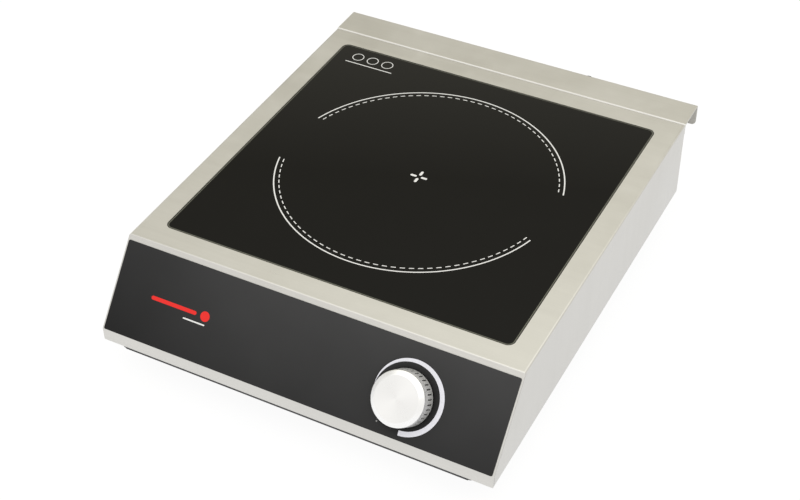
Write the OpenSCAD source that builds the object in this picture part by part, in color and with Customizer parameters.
// Countertop induction hob: one cooking zone, folded steel body, one control knob.
// The origin is on the top of the glass, at the centre of the cooking zone.
// +X is to the user's right, +Y is away from the user and +Z is up. Millimetres.

/* [Body] */
// Width across the side walls
body_w = 327; // [323:1:333]
// Depth of the flat top, from its front fold to the rear wall
top_d = 320; // [318:1:324]
// Height of the side walls
body_h = 70; // [70:1:76]
// Thickness of the steel sheet
sheet = 1; // [0.8:0.1:1]
// Outside radius of the folds along the front
bend_r = 1.5; // [1.5:0.1:3]
// Outside radius of the tight fold along the bottom of the front strip
low_bend_r = 0.8; // [0.5:0.1:1]
// Outside radius of the folds along the sides
side_bend_r = 1.5; // [1.5:0.1:3]
// Outside radius of the tight folds where the body meets the rear guard
rear_bend_r = 1.5; // [1:0.1:2]
// How far the sloping front runs forward
slope_run = 48; // [46:1:50]
// How far the sloping front drops
slope_drop = 58.3; // [57:0.1:60]

/* [Glass] */
// Width of the opening in the top
cutout_w = 290; // [284:1:292]
// Depth of the opening in the top
cutout_d = 283; // [278:1:284]
// Corner radius of the opening
cutout_r = 6; // [5:0.5:9]
// Width of the sealant joint round the glass
joint_w = 1.4; // [1:0.1:2]
// Thickness of the glass
glass_t = 4; // [4:1:5]

/* [Knob] */
// Distance of the knob's axis to the right of the middle
knob_x = 86; // [60:1:100]
// Distance of the knob's axis down the slope from the front fold
knob_v = 44.6; // [42:0.1:48]
// Radius of the knob at its base
knob_r = 20.8; // [19:0.1:22]
// Height of the knob above the steel slope
knob_h = 18.6; // [17:0.1:20]
// Number of grip slots round the knob
knob_slots = 36; // [24:1:48]

/* [Rear guard] */
// Depth of the guard behind the body
guard_d = 31.2; // [24:0.1:34]
// Height of its rear leg
guard_h = 19.7; // [15:0.1:21]

/* [Feet] */
// Height of the rubber feet
foot_h = 25; // [20:1:30]
// Radius of a foot where it meets the base
foot_r = 12; // [11:0.5:13]

/* [Cooking zone] */
// Outside radius of the coil winding
coil_r = 105; // [90:1:108]
// Diameter of the coil wire
wire_d = 3.5; // [3:0.1:4]

/* [Fan] */
// Side of the square fan
fan_size = 92; // [80:1:92]
// Number of fan blades
fan_blades = 7; // [5:1:9]

/* [Mains cord] */
// Diameter of the cord
cord_d = 9; // [7:0.5:9]

/* [Hidden] */

$fn = 48;
base_t = 1;
top_z = 0;
floor_z = top_z - body_h;
base_z = floor_z - base_t;
rest_z = base_z - foot_h;
front_y = -top_d / 2;
strip_y = front_y - slope_run;
strip_z = top_z - slope_drop;
rear_y = top_d / 2;
slope_tilt = atan2(slope_drop, slope_run);
slope_len = norm([slope_run, slope_drop]);
gap = 0.05;

glass_w = cutout_w - 2 * joint_w;
glass_d = cutout_d - 2 * joint_w;
glass_r = cutout_r - joint_w;
glass_z = top_z - glass_t;
tape_t = 0.5;
ledge_z = glass_z - tape_t;
ledge_w = 11;

overlay_w = 324.6;
overlay_t = 0.5;
overlay_r = 1.3;
adhesive_t = 0.02;
overlay_edge = 4.5;
overlay_len = 70.8;

bushing_r = 4.5;
shaft_r = 3;
flat_y = 1.5;
flat_z = 7.5;
insert_r = 9;
knob_gap = 1.2;
grub_r = 1.5;
grub_z = 9;
off_turn = 235.6;
insert_z = [7, 13];
skirt_z = 6;
board_lift = -15;
studs_x = [-44, 28];
stud_tip_r = 1.45;

guard_leg = 10;
guard_screw_z = top_z - 7;
guard_screw_x = [-140, -50, 50, 140];
guard_screw_r = 1.5;

rear_open_w = 300;
rear_open_z = [floor_z + 10, top_z - 13];
panel_w = 316;
panel_z = [floor_z + 3, top_z - 6];
panel_screw_r = 1.5;
panel_screws = [for (x = [-154, 154], z = [floor_z + 16, floor_z + 50]) [x, z]];

under_w = 275;
under_y = [strip_y + 15, rear_y - 12];
base_w = 298;
base_r = 5;
base_setback = 0.3;
base_lip = 0.7;
base_y = [strip_y + base_setback, rear_y - 2];
base_screw_r = 1.9;
base_screws_at = concat(
    [for (x = [-143, 143], y = [-150, -10, 120]) [x, y]],
    [for (x = [-60, 60]) [x, strip_y + 9]]);
feet_at = [for (x = [-125, 125], y = [-168, 128]) [x, y]];
foot_screw_r = 2.5;

fan_x = -80;
fan_y = -112;
fan_t = 25;
fan_bore_r = fan_size / 2 - 2.5;
fan_hub_r = 17;
fan_hole = fan_size / 2 - 4.75;
fan_pin_r = 1.5;
fan_screw_r = 2;
intake_r = fan_bore_r - 3.5;

board_t = 1.6;
board_z = floor_z + 10;
board_top = board_z + board_t;
power_x = [-22, 122];
power_y = [-140, 60];
filter_x = [30, 122];
filter_y = [75, 147];
standoff_r = 3;
board_hole_inset = 6;
board_screw_r = 1.4;
sink_x = [-5, 79];
sink_y = [-45, 37];
sink_h = 30;
terminal_y = [for (i = [0 : 2]) filter_y[0] + 47 + 9 * i];
core_r = 1.35;
core_step = 2.9;

shield_z = floor_z + 46;
shield_t = 1.5;
shield_w = 284;
shield_d = 230;
posts_at = [for (x = [-130, 130], y = [-48, 90]) [x, y]];
m3_r = 1.5;
m3_thread_r = 1.55;
m3_clear_r = 1.7;
felt_t = 3;
winding_z = glass_z - felt_t - gap - wire_d / 2;
carrier_t = 2.5;
carrier_r = coil_r + 6;
carrier_z = winding_z - wire_d / 2 - carrier_t;
ferrite_t = 5;
spacer_ring = 96;
spacer_turns = [45 : 90 : 315];
coil_turns = 17;
coil_pitch = 4.2;
coil_first_r = coil_r - wire_d / 2 - coil_pitch * coil_turns;
coil_turn = -104;
tail_bend = 6;
tail_hole_r = 6;
tail_edge_x = coil_r - wire_d / 2 + 19;
tail_edge_y = 30;
sensor_r = 8;
sensor_h = 8;

gland_x = 53;
gland_z = floor_z + 44;
gland_r = 8;
cord_r = cord_d / 2;
cord_inside = 8;
out_run = 51.5;
drop_r = 25;
first_run = 2;
wide_r = 28;
long_run = 220;
fold_r = 14;
short_run = 142;
last_run = 88;
rise_r = 30;
rise_angle = 30;
cord_stub = 8;
plug_mid_z = 14;
rise_run = (plug_mid_z - cord_r - 2 * rise_r * (1 - cos(rise_angle))) / sin(rise_angle);
plug_x = gland_x + drop_r + first_run - long_run + last_run
    + 2 * rise_r * sin(rise_angle) + rise_run * cos(rise_angle);
plug_y = rear_y + out_run + drop_r + 2 * wide_r - 6 * fold_r;
neck_l = 20;
plug_face_z = neck_l + 30;
pin_l = 17;
pin_seat = 8;
plug_pin_list = [[7.9, 180, 6.3], [7.9, 60, 6.3], [7.9, -60, 6.3]];

control_plug = [106, power_y[0] + 13, board_top + 8];

// Corners of the body's side view as [y, z, fold radius], anticlockwise from the rear of the top.
side_profile = [[rear_y, top_z, rear_bend_r], [front_y, top_z, bend_r], [strip_y, strip_z, bend_r],
    [strip_y, floor_z, low_bend_r], [rear_y, floor_z, 0]];
// Corners of the body's end view as [x, z, fold radius], anticlockwise.
end_profile = [[body_w / 2, top_z, side_bend_r], [-body_w / 2, top_z, side_bend_r],
    [-body_w / 2, floor_z, side_bend_r], [body_w / 2, floor_z, side_bend_r]];

// ---------- Shared shapes ----------

function unit(v) = v / norm(v);
function flat(c) = [c[0], c[1]];
function wrap(list, i) = list[(i + len(list)) % len(list)];
function left_of(v) = [-v[1], v[0]];

// One corner of an anticlockwise outline moved inwards by d, with its fold radius reduced to match.
function inset_corner(list, i, d) =
    let (q = flat(list[i]),
        before = left_of(unit(q - flat(wrap(list, i - 1)))),
        after = left_of(unit(flat(wrap(list, i + 1)) - q)),
        moved = q + d * (before + after) / (1 + before * after))
    [moved[0], moved[1], max(list[i][2] - d, 0)];

function inset_profile(list, d) = [for (i = [0 : len(list) - 1]) inset_corner(list, i, d)];

// Half the angle inside corner i, and the directions from it to its neighbours.
function to_last(list, i) = unit(flat(wrap(list, i - 1)) - flat(list[i]));
function to_next(list, i) = unit(flat(wrap(list, i + 1)) - flat(list[i]));
function half_angle(list, i) = acos(to_last(list, i) * to_next(list, i)) / 2;

// A convex outline whose corners [a, b, radius] are true arcs.
module rounded_profile(list) {
    polygon([for (i = [0 : len(list) - 1])
        let (q = flat(list[i]), cut = list[i][2] / tan(half_angle(list, i)))
        each (cut > 0 ? [q + cut * to_last(list, i), q + cut * to_next(list, i)] : [q])]);
    for (i = [0 : len(list) - 1])
        if (list[i][2] > 0)
            translate(flat(list[i]) + list[i][2] / sin(half_angle(list, i))
                * unit(to_last(list, i) + to_next(list, i)))
                circle(list[i][2]);
}

module round_rect(w, d, r) {
    square([w - 2 * r, d], center = true);
    square([w, d - 2 * r], center = true);
    for (x = [-1, 1], y = [-1, 1])
        translate([x * (w / 2 - r), y * (d / 2 - r)])
            circle(r);
}

// A slot with round ends along X.
module slot(length, w) {
    square([length - w, w], center = true);
    for (x = [-1, 1])
        translate([x * (length - w) / 2, 0])
            circle(d = w);
}

// A rectangular ring between two rounded outlines.
module ring_plate(w, d, r, inner_w, inner_d, inner_r, z, t) {
    translate([0, 0, z])
        linear_extrude(t)
            difference() {
                round_rect(w, d, r);
                round_rect(inner_w, inner_d, inner_r);
            }
}

// Local frame on the sloping front: +X stays, +Y runs up the slope and +Z stands out of it.
module on_slope(x, v, lift = 0) {
    translate([x, front_y - v * cos(slope_tilt), top_z - v * sin(slope_tilt)])
        rotate([slope_tilt, 0, 0])
            translate([0, 0, lift])
                children();
}

// Local frame on the rear wall: +X stays, +Y is up and +Z stands out of the wall.
module on_rear(x, z, lift = 0) {
    translate([x, rear_y + lift, z])
        rotate([-90, 0, 0])
            mirror([0, 1, 0])
                children();
}

// Screw with a domed cross-recess head above z = 0 and its shank below.
module pan_screw(shank_r, length) {
    head_r = 1.9 * shank_r;
    head_h = 1.2 * shank_r;
    dome_r = (head_r * head_r + head_h * head_h) / (2 * head_h);
    recess_w = 0.45 * shank_r;
    difference() {
        union() {
            rotate_extrude()
                intersection() {
                    translate([0, head_h - dome_r])
                        circle(dome_r);
                    square([head_r, head_h]);
                }
            translate([0, 0, -length])
                cylinder(h = length + gap, r = shank_r);
        }
        for (turn = [0, 90])
            rotate([0, 0, turn])
                translate([-head_r * 0.6, -recess_w / 2, head_h * 0.45])
                    cube([head_r * 1.2, recess_w, head_h]);
    }
}

module hex_nut(bore_r, across, h) {
    difference() {
        cylinder(h = h, d = across / cos(30), $fn = 6);
        translate([0, 0, -1])
            cylinder(h = h + 2, r = bore_r);
    }
}

// A round cable drawn from here along +Z. A step is [length] for a straight run,
// or [bend radius, bend angle, roll] for a bend; roll turns the bend's plane about the cable.
module cable(r, steps, i = 0) {
    if (i < len(steps)) {
        step = steps[i];
        if (len(step) == 1) {
            cylinder(h = step[0], r = r);
            translate([0, 0, step[0]])
                cable(r, steps, i + 1);
        } else {
            bend = step[0];
            angle = step[1];
            rotate([0, 0, step[2]]) {
                translate([bend, 0, 0])
                    mirror([1, 0, 0])
                        rotate([90, 0, 0])
                            rotate_extrude(angle = angle)
                                translate([bend, 0])
                                    circle(r);
                translate([bend * (1 - cos(angle)), 0, bend * sin(angle)])
                    rotate([0, angle, 0])
                        cable(r, steps, i + 1);
            }
        }
    }
}

// A circuit board of given x and y ranges with four screw holes.
module board(xs, ys) {
    difference() {
        translate([(xs[0] + xs[1]) / 2, (ys[0] + ys[1]) / 2, board_z])
            linear_extrude(board_t)
                round_rect(xs[1] - xs[0], ys[1] - ys[0], 2);
        at_board_holes(xs, ys)
            translate([0, 0, board_z - 1])
                cylinder(h = board_t + 2, r = board_screw_r + 0.2);
    }
}

module at_board_holes(xs, ys) {
    for (x = [xs[0] + board_hole_inset, xs[1] - board_hole_inset],
        y = [ys[0] + board_hole_inset, ys[1] - board_hole_inset])
        translate([x, y, 0])
            children();
}

// ---------- Outer body ----------

// The body's outside form, or its cavity when inset by the sheet's thickness.
module body_block(inset_d) {
    intersection() {
        rotate([90, 0, 90])
            linear_extrude(body_w + 20, center = true)
                rounded_profile(inset_profile(side_profile, inset_d));
        rotate([90, 0, 0])
            linear_extrude(2 * (top_d + slope_run), center = true)
                rounded_profile(inset_profile(end_profile, inset_d));
    }
}

// Folded shell: top, sides, sloping front, front strip, rear rim and turned-in bottom edges.
module body_shell() {
    seam_back = 1.3;
    seam_w = 0.5;
    seam_depth = 0.2;
    color([0.82, 0.81, 0.77]) difference() {
        body_block(0);
        body_block(sheet);
        translate([0, 0, top_z - 2 * sheet])
            linear_extrude(3 * sheet)
                round_rect(cutout_w, cutout_d, cutout_r);
        translate([0, (under_y[0] + under_y[1]) / 2, floor_z - sheet])
            linear_extrude(3 * sheet)
                round_rect(under_w, under_y[1] - under_y[0], 6);
        on_rear(0, (rear_open_z[0] + rear_open_z[1]) / 2, -2 * sheet)
            linear_extrude(3 * sheet)
                round_rect(rear_open_w, rear_open_z[1] - rear_open_z[0], 6);
        on_slope(knob_x, knob_v, -2 * sheet)
            cylinder(h = 3 * sheet, r = bushing_r + gap);
        for (x = guard_screw_x)
            on_rear(x, guard_screw_z, -2 * sheet)
                cylinder(h = 3 * sheet, r = guard_screw_r + gap);
        for (p = panel_screws)
            on_rear(p[0], p[1], -2 * sheet)
                cylinder(h = 3 * sheet, r = panel_screw_r + gap);
        for (p = base_screws_at)
            translate([p[0], p[1], floor_z - sheet])
                cylinder(h = 3 * sheet, r = base_screw_r + gap);
        // Fine ground seam on each side, just behind the welded edge of the front
        for (side = [-1, 1]) {
            on_slope(side * body_w / 2, slope_len / 2, -seam_back)
                cube([2 * seam_depth, slope_len - bend_r, seam_w], center = true);
            translate([side * body_w / 2, strip_y + seam_back, (floor_z + strip_z) / 2])
                cube([2 * seam_depth, seam_w, strip_z - floor_z - bend_r], center = true);
        }
    }
}

module glass_plate() {
    color([0.09, 0.08, 0.07]) translate([0, 0, glass_z])
        linear_extrude(glass_t)
            round_rect(glass_w, glass_d, glass_r);
}

// Sealant joint between the glass and the steel, a little below the surface.
module glass_seal() {
    seal_drop = 0.25;
    color([0.2, 0.2, 0.18])
        ring_plate(cutout_w, cutout_d, cutout_r, glass_w, glass_d, glass_r,
            glass_z, glass_t - seal_drop);
}

// Frame welded under the top; its ledge carries the glass.
module glass_frame() {
    flange_w = 22;
    web = sheet;
    color([0.75, 0.75, 0.73]) {
        ring_plate(cutout_w + flange_w, cutout_d + flange_w, cutout_r + flange_w / 2,
            cutout_w, cutout_d, cutout_r, top_z - 2 * sheet, sheet);
        ring_plate(cutout_w + 2 * web, cutout_d + 2 * web, cutout_r + web,
            cutout_w, cutout_d, cutout_r, ledge_z - sheet, top_z - 2 * sheet - ledge_z + sheet);
        ring_plate(cutout_w + 2 * web, cutout_d + 2 * web, cutout_r + web,
            cutout_w - 2 * ledge_w, cutout_d - 2 * ledge_w, 4, ledge_z - sheet, sheet);
    }
}

module glass_tape() {
    tape_w = 8;
    color([0.15, 0.15, 0.15])
        ring_plate(glass_w - 2, glass_d - 2, glass_r - 1,
            glass_w - 2 - 2 * tape_w, glass_d - 2 - 2 * tape_w, 4, ledge_z, tape_t);
}

// Matte black plastic sheet bonded to the sloping front.
module front_overlay() {
    color([0.17, 0.17, 0.17])
        difference() {
            on_slope(0, overlay_edge + overlay_len / 2, adhesive_t)
                linear_extrude(overlay_t)
                    round_rect(overlay_w, overlay_len, overlay_r);
            on_slope(knob_x, knob_v, -1)
                cylinder(h = 3, r = bushing_r + 0.6);
        }
}

// Inner rear panel with air slots and the cord's hole.
module rear_panel() {
    slots = 17;
    slot_pitch = 10;
    slot_first = -138;
    slot_l = 36;
    slot_w = 4;
    color([0.78, 0.78, 0.76]) difference() {
        on_rear(0, (panel_z[0] + panel_z[1]) / 2, -2 * sheet)
            linear_extrude(sheet)
                round_rect(panel_w, panel_z[1] - panel_z[0], 3);
        for (i = [0 : slots - 1])
            on_rear(slot_first + i * slot_pitch, (rear_open_z[0] + rear_open_z[1]) / 2, -3 * sheet)
                linear_extrude(3 * sheet)
                    rotate([0, 0, 90])
                        slot(slot_l, slot_w);
        on_rear(gland_x, gland_z, -3 * sheet)
            cylinder(h = 3 * sheet, r = gland_r + gap);
        for (x = guard_screw_x)
            on_rear(x, guard_screw_z, -3 * sheet)
                cylinder(h = 3 * sheet, r = guard_screw_r + gap);
        for (p = panel_screws)
            on_rear(p[0], p[1], -3 * sheet)
                cylinder(h = 3 * sheet, r = panel_screw_r + gap);
    }
}

// Spacer guard: an upside-down channel that keeps the air outlet off the wall.
module rear_guard() {
    back_y = rear_y + guard_d;
    low_z = top_z - guard_h;
    corner_r = 4;
    outline = [[back_y, top_z, bend_r], [rear_y, top_z, rear_bend_r], [rear_y, low_z, 0],
        [back_y, low_z, 0]];
    color([0.82, 0.81, 0.77]) difference() {
        intersection() {
            rotate([90, 0, 90])
                linear_extrude(body_w, center = true)
                    rounded_profile(outline);
            rotate([90, 0, 0])
                linear_extrude(4 * top_d, center = true)
                    rounded_profile([[body_w / 2, top_z, 0], [-body_w / 2, top_z, 0],
                        [-body_w / 2, low_z, corner_r], [body_w / 2, low_z, corner_r]]);
        }
        rotate([90, 0, 90])
            linear_extrude(body_w + 2, center = true)
                rounded_profile([[back_y - sheet, top_z - sheet, bend_r - sheet],
                    [rear_y + sheet, top_z - sheet, rear_bend_r - sheet],
                    [rear_y + sheet, low_z - 1, 0], [back_y - sheet, low_z - 1, 0]]);
        translate([-body_w, rear_y - 1, low_z - 1])
            cube([2 * body_w, 1 + 2 * sheet, 1 + guard_h - guard_leg]);
        for (x = guard_screw_x)
            on_rear(x, guard_screw_z, -1)
                cylinder(h = 3, r = guard_screw_r + gap);
    }
}

module guard_screws() {
    color([0.7, 0.7, 0.7])
        for (x = guard_screw_x)
            on_rear(x, guard_screw_z, sheet)
                pan_screw(guard_screw_r, 6);
}

module rear_panel_screws() {
    color([0.7, 0.7, 0.7])
        for (p = panel_screws)
            on_rear(p[0], p[1])
                pan_screw(panel_screw_r, 6);
}

// ---------- Base and feet ----------

// Black base plate, with cooling slots under the fan and a low lip along its front edge.
module base_plate() {
    slot_w = 4.5;
    slot_step = 8;
    web_w = 8;
    rows = floor((intake_r - web_w) / slot_step);
    color([0.15, 0.15, 0.16]) difference() {
        union() {
            translate([0, (base_y[0] + base_y[1]) / 2, base_z])
                linear_extrude(base_t)
                    round_rect(base_w, base_y[1] - base_y[0], base_r);
            translate([base_r - base_w / 2, base_y[0], base_z - base_lip])
                cube([base_w - 2 * base_r, base_t, base_lip + gap]);
        }
        for (row = [-rows : rows], side = [-1, 1]) {
            half = sqrt(intake_r * intake_r - pow(row * slot_step, 2));
            translate([fan_x + side * (half + web_w / 2) / 2, fan_y + row * slot_step, base_z - 1])
                linear_extrude(3)
                    slot(half - web_w / 2, slot_w);
        }
        for (p = base_screws_at)
            translate([p[0], p[1], base_z - 1])
                cylinder(h = 3, r = base_screw_r + 0.2);
        for (p = feet_at)
            translate([p[0], p[1], base_z - 1])
                cylinder(h = 3, r = foot_screw_r + 0.1);
    }
}

module base_screws() {
    color([0.7, 0.7, 0.7])
        for (p = base_screws_at)
            translate([p[0], p[1], base_z])
                rotate([180, 0, 0])
                    pan_screw(base_screw_r, 6);
}

// Tapered rubber foot with a deep pocket for its screw.
module feet() {
    foot_low_r = foot_r - 2;
    edge = 1;
    pocket_r = 5.2;
    pocket_h = foot_h - 5;
    color([0.12, 0.12, 0.12])
        for (p = feet_at)
            translate([p[0], p[1], rest_z])
                rotate_extrude()
                    polygon([[pocket_r, 0], [foot_low_r - edge, 0], [foot_low_r, edge],
                        [foot_r, foot_h - 2], [foot_r, foot_h], [foot_screw_r + 0.1, foot_h],
                        [foot_screw_r + 0.1, pocket_h], [pocket_r, pocket_h]]);
}

module foot_screws() {
    color([0.7, 0.7, 0.7])
        for (p = feet_at)
            translate([p[0], p[1], base_z - 5])
                rotate([180, 0, 0])
                    pan_screw(foot_screw_r, 13);
}

module foot_nuts() {
    color([0.75, 0.75, 0.72])
        for (p = feet_at)
            translate([p[0], p[1], floor_z])
                hex_nut(foot_screw_r + gap, 8, 4);
}

// ---------- Cooking zone ----------

// Flat spiral of coil wire, wound as half turns about two centres half a pitch apart. Its inner
// tail bends down through the carrier, and its outer tail bends out and down past the edge.
module coil_winding() {
    tail_end = board_top + 12;
    out_bend = 8;
    down_bend = 6;
    color([0.72, 0.42, 0.22])
        rotate([0, 0, coil_turn])
            translate([0, 0, winding_z]) {
                for (i = [0 : 2 * coil_turns - 1])
                    translate([i % 2 * coil_pitch / 2, 0, 0])
                        rotate([0, 0, i % 2 * 180])
                            rotate_extrude(angle = 180)
                                translate([coil_first_r + i * coil_pitch / 2, 0])
                                    circle(wire_d / 2);
                translate([coil_first_r, 0, 0])
                    rotate([90, 0, 0])
                        cable(wire_d / 2,
                            [[tail_bend, 90, -90], [winding_z - tail_bend - tail_end]]);
                translate([coil_r - wire_d / 2, 0, 0])
                    rotate([90, 0, 180])
                        cable(wire_d / 2, [[22], [out_bend, 90, 180], [5], [down_bend, 90, 90],
                            [winding_z - down_bend - tail_end]]);
            }
}

// Where the winding's inner tail goes down.
module at_inner_tail() {
    rotate([0, 0, coil_turn])
        translate([coil_first_r, -tail_bend, 0])
            children();
}

// Screw posts on the power board that take the winding's two tails.
module coil_terminals() {
    module post() {
        difference() {
            cylinder(h = 12, r = 4);
            translate([0, 0, 11])
                cylinder(h = 2, r = 2.4);
        }
    }
    color([0.8, 0.7, 0.4]) {
        at_inner_tail()
            translate([0, 0, board_top])
                post();
        rotate([0, 0, coil_turn])
            translate([tail_edge_x, tail_edge_y, board_top])
                post();
    }
}

module coil_carrier() {
    windows = 8;
    window_w = 14;
    color([0.85, 0.82, 0.75]) difference() {
        translate([0, 0, carrier_z])
            cylinder(h = carrier_t, r = carrier_r);
        translate([0, 0, carrier_z - 1])
            cylinder(h = carrier_t + 2, r = 14);
        for (i = [0 : windows - 1])
            rotate([0, 0, (i + 0.5) * 360 / windows])
                translate([64, 0, carrier_z - 1])
                    linear_extrude(carrier_t + 2)
                        slot(52, window_w);
        at_inner_tail()
            translate([0, 0, carrier_z - 1])
                cylinder(h = carrier_t + 2, r = tail_hole_r);
        at_spacers()
            translate([0, 0, carrier_z - 1])
                cylinder(h = carrier_t + 2, r = m3_clear_r);
    }
}

module ferrite_bars() {
    bars = 8;
    color([0.25, 0.25, 0.27])
        for (i = [0 : bars - 1])
            rotate([0, 0, (i + 0.25) * 360 / bars])
                translate([42, -7.5, carrier_z - ferrite_t])
                    cube([46, 15, ferrite_t]);
}

module insulation_felt() {
    color([0.93, 0.92, 0.88]) difference() {
        translate([0, 0, glass_z - felt_t])
            cylinder(h = felt_t, r = carrier_r);
        translate([0, 0, glass_z - felt_t - 1])
            cylinder(h = felt_t + 2, r = sensor_r + 2);
    }
}

// Where the carrier stands on its spacers.
module at_spacers() {
    for (turn = spacer_turns)
        rotate([0, 0, turn])
            translate([spacer_ring, 0, 0])
                children();
}

module coil_spacers() {
    h = carrier_z - shield_z - shield_t;
    color([0.9, 0.9, 0.86])
        at_spacers()
            translate([0, 0, shield_z + shield_t])
                difference() {
                    cylinder(h = h, r = 4.5);
                    translate([0, 0, -1])
                        cylinder(h = h + 2, r = m3_thread_r);
                }
}

module coil_screws() {
    color([0.7, 0.7, 0.7])
        at_spacers()
            translate([0, 0, shield_z])
                rotate([180, 0, 0])
                    pan_screw(m3_r, 9);
}

// Aluminium sheet that keeps the coil's field off the electronics.
module shield_plate() {
    color([0.8, 0.81, 0.83]) difference() {
        translate([0, (posts_at[0][1] + posts_at[1][1]) / 2, shield_z])
            linear_extrude(shield_t)
                round_rect(shield_w, shield_d, 6);
        translate([0, 0, shield_z - 1])
            cylinder(h = shield_t + 2, r = 4);
        at_inner_tail()
            translate([0, 0, shield_z - 1])
                cylinder(h = shield_t + 2, r = tail_hole_r);
        for (p = posts_at)
            translate([p[0], p[1], shield_z - 1])
                cylinder(h = shield_t + 2, r = m3_clear_r);
        at_spacers()
            translate([0, 0, shield_z - 1])
                cylinder(h = shield_t + 2, r = m3_clear_r);
    }
}

module shield_posts() {
    h = shield_z - floor_z;
    color([0.8, 0.8, 0.78])
        for (p = posts_at)
            translate([p[0], p[1], floor_z])
                difference() {
                    cylinder(h = h, d = 8 / cos(30), $fn = 6);
                    translate([0, 0, h - 9])
                        cylinder(h = 10, r = m3_thread_r);
                }
}

module shield_screws() {
    color([0.7, 0.7, 0.7])
        for (p = posts_at)
            translate([p[0], p[1], shield_z + shield_t])
                pan_screw(m3_r, 8);
}

// Spring-loaded sensor cup that touches the glass through the middle of the coil.
module temperature_sensor() {
    flange = 2.5;
    color([0.88, 0.88, 0.9])
        translate([0, 0, glass_z - sensor_h])
            difference() {
                union() {
                    cylinder(h = sensor_h, r = sensor_r);
                    cylinder(h = 1.2, r = sensor_r + flange);
                }
                translate([0, 0, -1])
                    cylinder(h = sensor_h - 1, r = 4);
            }
}

// Compression spring: half turns of wire, each tilted a little so that the coil climbs.
module sensor_spring() {
    ring_r = 7.5;
    spring_wire = 0.5;
    low = shield_z + shield_t + spring_wire;
    high = glass_z - sensor_h - spring_wire;
    half_turns = 8;
    tilt = asin((high - low) / half_turns / (2 * ring_r));
    color([0.65, 0.65, 0.66])
        translate([ring_r, 0, low])
            rotate([90, 0, 180])
                cable(spring_wire,
                    [for (i = [0 : half_turns - 1]) [ring_r, 180, i == 0 ? tilt : 2 * tilt]]);
}

// ---------- Fan ----------

module fan_housing() {
    base_h = 3;
    struts = 4;
    color([0.14, 0.14, 0.15])
        translate([fan_x, fan_y, floor_z]) {
            difference() {
                linear_extrude(fan_t)
                    round_rect(fan_size, fan_size, 6);
                translate([0, 0, -1])
                    cylinder(h = fan_t + 2, r = fan_bore_r);
                for (x = [-1, 1], y = [-1, 1])
                    translate([x * fan_hole, y * fan_hole, -1])
                        cylinder(h = fan_t + 2, r = fan_screw_r + 0.2);
            }
            difference() {
                union() {
                    cylinder(h = base_h, r = fan_hub_r + 2);
                    cylinder(h = 12, r = 5);
                    for (i = [0 : struts - 1])
                        rotate([0, 0, 45 + i * 360 / struts])
                            translate([fan_hub_r, -3, 0])
                                cube([fan_bore_r - fan_hub_r + 1, 6, base_h]);
                }
                translate([0, 0, base_h + 0.5])
                    cylinder(h = 12, r = fan_pin_r + gap);
            }
        }
}

// Hub cup, tilted blades and the steel pin that runs in the housing's bearing.
module fan_impeller() {
    low = 5;
    high = 22;
    tip_r = fan_bore_r - 2;
    blade_tilt = 38;
    blade_w = 24;
    blade_t = 1.6;
    color([0.16, 0.16, 0.17])
        translate([fan_x, fan_y, floor_z]) {
            difference() {
                translate([0, 0, low])
                    cylinder(h = high - low, r = fan_hub_r);
                translate([0, 0, low - 1])
                    cylinder(h = high - low - 1, r = fan_hub_r - 2);
            }
            translate([0, 0, 4])
                cylinder(h = high - 5, r = fan_pin_r);
            intersection() {
                for (i = [0 : fan_blades - 1])
                    rotate([0, 0, i * 360 / fan_blades])
                        translate([fan_hub_r - 1, 0, (low + high) / 2])
                            rotate([blade_tilt, 0, 0])
                                translate([0, -blade_w / 2, -blade_t / 2])
                                    cube([tip_r, blade_w, blade_t]);
                translate([0, 0, low + 1])
                    difference() {
                        cylinder(h = high - low - 2, r = tip_r);
                        translate([0, 0, -1])
                            cylinder(h = high - low, r = fan_hub_r - 0.5);
                    }
            }
        }
}

module fan_screws() {
    color([0.7, 0.7, 0.7])
        for (x = [-1, 1], y = [-1, 1])
            translate([fan_x + x * fan_hole, fan_y + y * fan_hole, floor_z + fan_t])
                pan_screw(fan_screw_r, fan_t - gap);
}

// ---------- Power electronics ----------

module power_board() {
    color([0.1, 0.35, 0.2])
        board(power_x, power_y);
}

module filter_board() {
    color([0.1, 0.35, 0.2])
        board(filter_x, filter_y);
}

module board_standoffs() {
    color([0.85, 0.82, 0.6])
        for (b = [[power_x, power_y], [filter_x, filter_y]])
            at_board_holes(b[0], b[1])
                translate([0, 0, floor_z])
                    difference() {
                        cylinder(h = board_z - floor_z, r = standoff_r);
                        translate([0, 0, 2])
                            cylinder(h = board_z - floor_z, r = board_screw_r + gap);
                    }
}

module board_screws() {
    color([0.7, 0.7, 0.7])
        for (b = [[power_x, power_y], [filter_x, filter_y]])
            at_board_holes(b[0], b[1])
                translate([0, 0, board_top])
                    pan_screw(board_screw_r, 8);
}

// Finned aluminium heat sink, fins in line with the air flow.
module heatsink() {
    fins = 11;
    fin_t = 2;
    wall_t = 6;
    w = sink_x[1] - sink_x[0];
    d = sink_y[1] - sink_y[0];
    color([0.72, 0.73, 0.75])
        translate([sink_x[0], sink_y[0], board_top]) {
            for (x = [0, w - wall_t])
                translate([x, 0, 0])
                    cube([wall_t, d, sink_h]);
            for (i = [0 : fins - 1])
                translate([0, i * (d - fin_t) / (fins - 1), 0])
                    cube([w, fin_t, sink_h]);
        }
}

// A flat power package standing on three legs, its back against the heat sink at x = 0.
module power_package(w) {
    leg_h = 5;
    leg_w = 1.2;
    leg_step = 5.4;
    translate([0, -w / 2, leg_h])
        cube([5, w, 20]);
    for (i = [-1 : 1])
        translate([1.6, i * leg_step - leg_w / 2, 0])
            cube([1, leg_w, leg_h + 1]);
}

module power_transistors() {
    color([0.1, 0.1, 0.1])
        for (y = [-32, -8])
            translate([sink_x[1], y, board_top])
                power_package(16);
}

module bridge_rectifier() {
    color([0.12, 0.12, 0.12])
        translate([sink_x[1], 20, board_top])
            power_package(24);
}

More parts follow.
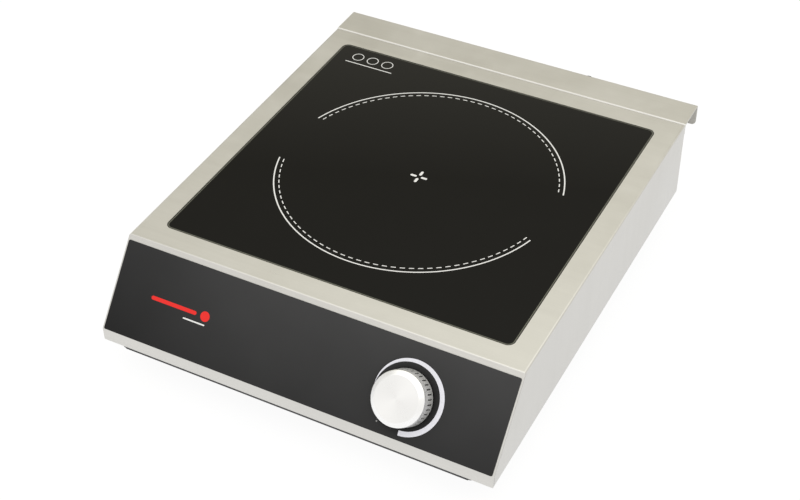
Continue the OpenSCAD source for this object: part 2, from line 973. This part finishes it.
module resonant_capacitors() {
    color([0.78, 0.16, 0.14])
        for (y = [-128, -104])
            translate([25, y, board_top])
                cube([42, 20, 28]);
}

module smoothing_capacitor() {
    color([0.16, 0.3, 0.6])
        translate([88, 0, board_top])
            cube([30, 42, 24]);
}

module toroid_choke() {
    ring_r = 10;
    tube_r = 6;
    color([0.75, 0.45, 0.2])
        translate([104, -50, board_top + tube_r])
            rotate_extrude()
                translate([ring_r, 0])
                    circle(tube_r);
}

module auxiliary_transformer() {
    core_t = 8;
    bobbin_t = 12;
    color([0.85, 0.75, 0.3])
        translate([88, -100, board_top]) {
            for (y = [0, core_t + bobbin_t])
                translate([0, y, 0])
                    cube([30, core_t, 22]);
            translate([5, core_t, 3])
                cube([20, bobbin_t, 16]);
        }
}

module filter_choke() {
    color([0.75, 0.45, 0.2])
        translate([104, 105, board_top + 14])
            rotate([90, 0, 0])
                cylinder(h = 24, r = 14, center = true);
}

module terminal_block() {
    w = 18;
    color([0.9, 0.9, 0.86])
        difference() {
            translate([gland_x - w / 2, terminal_y[0] - 5, board_top])
                cube([w, terminal_y[2] - terminal_y[0] + 7, 16]);
            for (i = [0 : 2])
                translate([gland_x + (i - 1) * core_step, terminal_y[i], board_top + 6])
                    cylinder(h = 20, r = core_r + 0.45);
        }
}

module fuse_holder() {
    clip = [5, 8, 9];
    fuse_l = 17;
    color([0.92, 0.9, 0.8])
        translate([36, 86, board_top]) {
            for (x = [0, clip[0] + fuse_l])
                translate([x, 0, 0])
                    cube(clip);
            translate([clip[0], clip[1] / 2, 5])
                rotate([0, 90, 0])
                    cylinder(h = fuse_l, r = 2.5);
        }
}

// Three cores that leave the cord's sheath and bend down into the terminals.
module mains_wires() {
    tints = [[0.35, 0.2, 0.12], [0.2, 0.35, 0.7], [0.3, 0.6, 0.25]];
    bend = 5;
    sheath_end = rear_y - cord_inside;
    for (i = [0 : 2])
        color(tints[i])
            translate([gland_x + (i - 1) * core_step, sheath_end, gland_z])
                rotate([90, 0, 0])
                    cable(core_r, [[sheath_end - terminal_y[i] - bend + gap], [bend, 90, -90],
                        [gland_z - bend - board_top - 8]]);
}

// ---------- Control ----------

module control_board() {
    board_w = studs_x[1] - studs_x[0] + 12;
    color([0.1, 0.35, 0.2])
        on_slope(knob_x, knob_v, board_lift)
            difference() {
                translate([(studs_x[0] + studs_x[1]) / 2, 0, 0])
                    linear_extrude(board_t)
                        round_rect(board_w, 40, 2);
                for (x = studs_x)
                    translate([x, 0, -1])
                        cylinder(h = board_t + 2, r = stud_tip_r + gap);
            }
}

// Studs on the back of the slope that carry the control board.
module control_standoffs() {
    color([0.8, 0.8, 0.78])
        for (x = studs_x)
            on_slope(knob_x + x, knob_v, board_lift)
                union() {
                    translate([0, 0, board_t])
                        cylinder(h = -board_lift - board_t - sheet, r = 3);
                    translate([0, 0, -3])
                        cylinder(h = board_t + 4, r = stud_tip_r);
                }
}

// Flat cable that falls in an S from the control board to its plug on the power board.
module control_cable() {
    cable_w = 9;
    cable_t = 1.2;
    steps = 20;
    to = [control_plug[1], control_plug[2]];
    from = to + [-45, 9];
    function ease(t) = t * t * (3 - 2 * t);
    function side(t, lift) = [from[0] + t * (to[0] - from[0]),
        from[1] + ease(t) * (to[1] - from[1]) + lift];
    color([0.75, 0.75, 0.78])
        translate([control_plug[0], 0, 0])
            rotate([90, 0, 90])
                linear_extrude(cable_w, center = true)
                    polygon(concat([for (i = [0 : steps]) side(i / steps, -cable_t / 2)],
                        [for (i = [steps : -1 : 0]) side(i / steps, cable_t / 2)]));
}

module control_connector() {
    w = 12;
    color([0.93, 0.92, 0.88])
        translate([control_plug[0] - w / 2, control_plug[1], board_top])
            difference() {
                cube([w, 9, 13]);
                translate([1.5, 2, 8])
                    cube([w - 3, 5, 6]);
            }
}

// Rotary control: its can sits behind the slope and its threaded bushing comes through.
module rotary_control() {
    can_r = 12;
    can_t = -board_lift - board_t - sheet;
    bushing_top = 6.5;
    color([0.5, 0.52, 0.5])
        on_slope(knob_x, knob_v)
            difference() {
                union() {
                    translate([0, 0, -sheet - can_t])
                        cylinder(h = can_t, r = can_r);
                    translate([0, 0, -sheet - gap])
                        cylinder(h = bushing_top + sheet + gap, r = bushing_r);
                }
                translate([0, 0, -sheet - can_t + 2])
                    cylinder(h = can_t + bushing_top + sheet, r = shaft_r + gap);
            }
}

module control_nut() {
    color([0.75, 0.75, 0.72])
        on_slope(knob_x, knob_v, overlay_t + gap) {
            difference() {
                cylinder(h = 0.8, r = 8.5);
                translate([0, 0, -1])
                    cylinder(h = 3, r = bushing_r + gap);
            }
            translate([0, 0, 0.8])
                hex_nut(bushing_r + gap, 13, 2.4);
        }
}

// Steel shaft with a flat where the knob grips it.
module control_shaft() {
    shaft_low = -10.8;
    shaft_top = insert_z[1] - 0.5;
    color([0.7, 0.7, 0.7])
        on_slope(knob_x, knob_v)
            difference() {
                translate([0, 0, shaft_low])
                    cylinder(h = shaft_top - shaft_low, r = shaft_r);
                translate([-shaft_r, flat_y, flat_z])
                    cube([2 * shaft_r, shaft_r, shaft_top]);
            }
}

// Turned aluminium cap: smooth base band, slotted grip band, and a bevelled brushed face.
module control_knob() {
    side_r = knob_r - 0.5;
    shoulder_z = knob_h - 2.4;
    face_r = knob_r - 4;
    wall = 3;
    slot_depth = 1.1;
    slot_w = 1.1;
    slot_z = [2.4, 10.6];
    color([0.93, 0.93, 0.92])
        on_slope(knob_x, knob_v)
            difference() {
                rotate_extrude()
                    rounded_profile([[0, knob_gap, 0], [knob_r, knob_gap, 0.4],
                        [side_r, shoulder_z, 1.2], [face_r, knob_h, 1.5], [0, knob_h, 0]]);
                cylinder(h = skirt_z, r = knob_r - wall);
                cylinder(h = insert_z[1], r = insert_r + gap);
                for (i = [1 : knob_slots - 1])
                    rotate([0, 0, off_turn + i * 360 / knob_slots])
                        translate([knob_r - slot_depth, -slot_w / 2, slot_z[0]])
                            cube([slot_depth + 1, slot_w, slot_z[1] - slot_z[0]]);
                // Pointer notch in the base band, under the grub screw
                rotate([0, 0, off_turn])
                    translate([knob_r - 0.8, -0.5, 0])
                        cube([2, 1, slot_z[0]]);
                grub_bore();
            }
}

// Plastic core pressed into the knob, with a bore that fits the shaft's flat.
module knob_insert() {
    color([0.2, 0.2, 0.2])
        on_slope(knob_x, knob_v)
            difference() {
                translate([0, 0, insert_z[0]])
                    cylinder(h = insert_z[1] - insert_z[0], r = insert_r);
                difference() {
                    cylinder(h = insert_z[1] + 1, r = shaft_r + gap);
                    translate([-insert_r, flat_y + gap, flat_z + gap])
                        cube([2 * insert_r, insert_r, insert_z[1]]);
                }
                grub_bore();
            }
}

module grub_bore() {
    rotate([0, 0, off_turn])
        translate([0, 0, grub_z])
            rotate([0, 90, 0])
                cylinder(h = knob_r + 1, r = grub_r + gap);
}

module knob_grub_screw() {
    grub_l = 14;
    color([0.3, 0.3, 0.3])
        on_slope(knob_x, knob_v)
            rotate([0, 0, off_turn])
                translate([shaft_r + gap, 0, grub_z])
                    rotate([0, 90, 0])
                        difference() {
                            cylinder(h = grub_l, r = grub_r);
                            translate([0, 0, grub_l - 2])
                                cylinder(h = 3, r = 0.8, $fn = 6);
                        }
}

// ---------- Mains cord ----------

// Gland body outside the rear panel: hexagon, ribbed nose and a bore for the cord.
module cable_gland() {
    hex_h = 6;
    thread_l = 9;
    color([0.13, 0.13, 0.13])
        on_rear(gland_x, gland_z, -sheet)
            difference() {
                union() {
                    cylinder(h = hex_h, d = 20 / cos(30), $fn = 6);
                    translate([0, 0, hex_h - gap])
                        cylinder(h = 12, r1 = 9.4, r2 = 7.5);
                    translate([0, 0, -thread_l])
                        cylinder(h = thread_l + 1, r = gland_r);
                }
                translate([0, 0, -thread_l - 1])
                    cylinder(h = 40, r = cord_r + gap);
            }
}

module gland_nut() {
    nut_h = 5;
    color([0.13, 0.13, 0.13])
        on_rear(gland_x, gland_z, -2 * sheet - nut_h)
            hex_nut(gland_r + gap, 19, nut_h);
}

// Cord from inside the rear wall, over and down to the bench, folded back and forth, then up
// to the height of the plug's middle.
module power_cord() {
    fall = gland_z - rest_z - cord_r - 2 * drop_r;
    color([0.1, 0.1, 0.1])
        translate([gland_x, rear_y - cord_inside, gland_z])
            rotate([-90, 0, 0])
                cable(cord_r, [[cord_inside + out_run], [drop_r, 90, 90], [fall], [drop_r, 90, -90],
                    [first_run], [wide_r, 180, -90], [long_run], [fold_r, 180, 0], [short_run],
                    [fold_r, 180, 180], [short_run], [fold_r, 180, 180], [last_run],
                    [rise_r, rise_angle, 90], [rise_run],
                    [rise_r, rise_angle, 180], [cord_stub]]);
}

// Local frame at the plug's cable end: +Z points from the cord to the pins and +X is up.
module at_plug() {
    translate([plug_x, plug_y, rest_z + plug_mid_z])
        rotate([0, 90, 0])
            rotate([0, 0, 180])
                children();
}

// Moulded plug: tapered neck with grip rings, and a body flattened above and below.
module mains_plug() {
    flare_l = 10;
    face_r = 19;
    color([0.11, 0.11, 0.11])
        at_plug()
            difference() {
                union() {
                    cylinder(h = neck_l, r1 = 7, r2 = 9.5);
                    for (z = [3 : 4 : 15])
                        translate([0, 0, z])
                            cylinder(h = 1.6, r = 9.6);
                    intersection() {
                        union() {
                            translate([0, 0, neck_l - 2])
                                cylinder(h = flare_l + 2, r1 = 10.5, r2 = face_r);
                            translate([0, 0, neck_l + flare_l])
                                cylinder(h = plug_face_z - neck_l - flare_l, r = face_r);
                        }
                        translate([-plug_mid_z, -face_r, 0])
                            cube([2 * plug_mid_z, 2 * face_r, plug_face_z]);
                    }
                }
                translate([0, 0, -1])
                    cylinder(h = cord_stub + 1, r = cord_r + gap);
                for (pin = plug_pin_list)
                    plug_pin(pin, plug_face_z - pin_seat, pin_seat + 1, gap);
            }
}

// One flat pin of the plug: [radial distance, position angle, width].
module plug_pin(pin, from, length, extra) {
    pin_t = 1.6;
    rotate([0, 0, pin[1]])
        translate([pin[0] - pin[2] / 2 - extra, -pin_t / 2 - extra, from])
            cube([pin[2] + 2 * extra, pin_t + 2 * extra, length]);
}

module plug_pins() {
    color([0.8, 0.75, 0.5])
        at_plug()
            for (pin = plug_pin_list)
                plug_pin(pin, plug_face_z - pin_seat + gap, pin_seat - gap + pin_l, 0);
}

body_shell();
glass_plate();
glass_seal();
glass_frame();
glass_tape();
front_overlay();
rear_panel();
rear_guard();
guard_screws();
rear_panel_screws();
base_plate();
base_screws();
feet();
foot_screws();
foot_nuts();
coil_winding();
coil_terminals();
coil_carrier();
ferrite_bars();
insulation_felt();
coil_spacers();
coil_screws();
shield_plate();
shield_posts();
shield_screws();
temperature_sensor();
sensor_spring();
fan_housing();
fan_impeller();
fan_screws();
power_board();
board_standoffs();
board_screws();
heatsink();
power_transistors();
bridge_rectifier();
resonant_capacitors();
smoothing_capacitor();
toroid_choke();
auxiliary_transformer();
filter_board();
filter_choke();
terminal_block();
fuse_holder();
mains_wires();
control_board();
control_standoffs();
control_cable();
control_connector();
rotary_control();
control_nut();
control_shaft();
control_knob();
knob_insert();
knob_grub_screw();
cable_gland();
gland_nut();
power_cord();
mains_plug();
plug_pins();
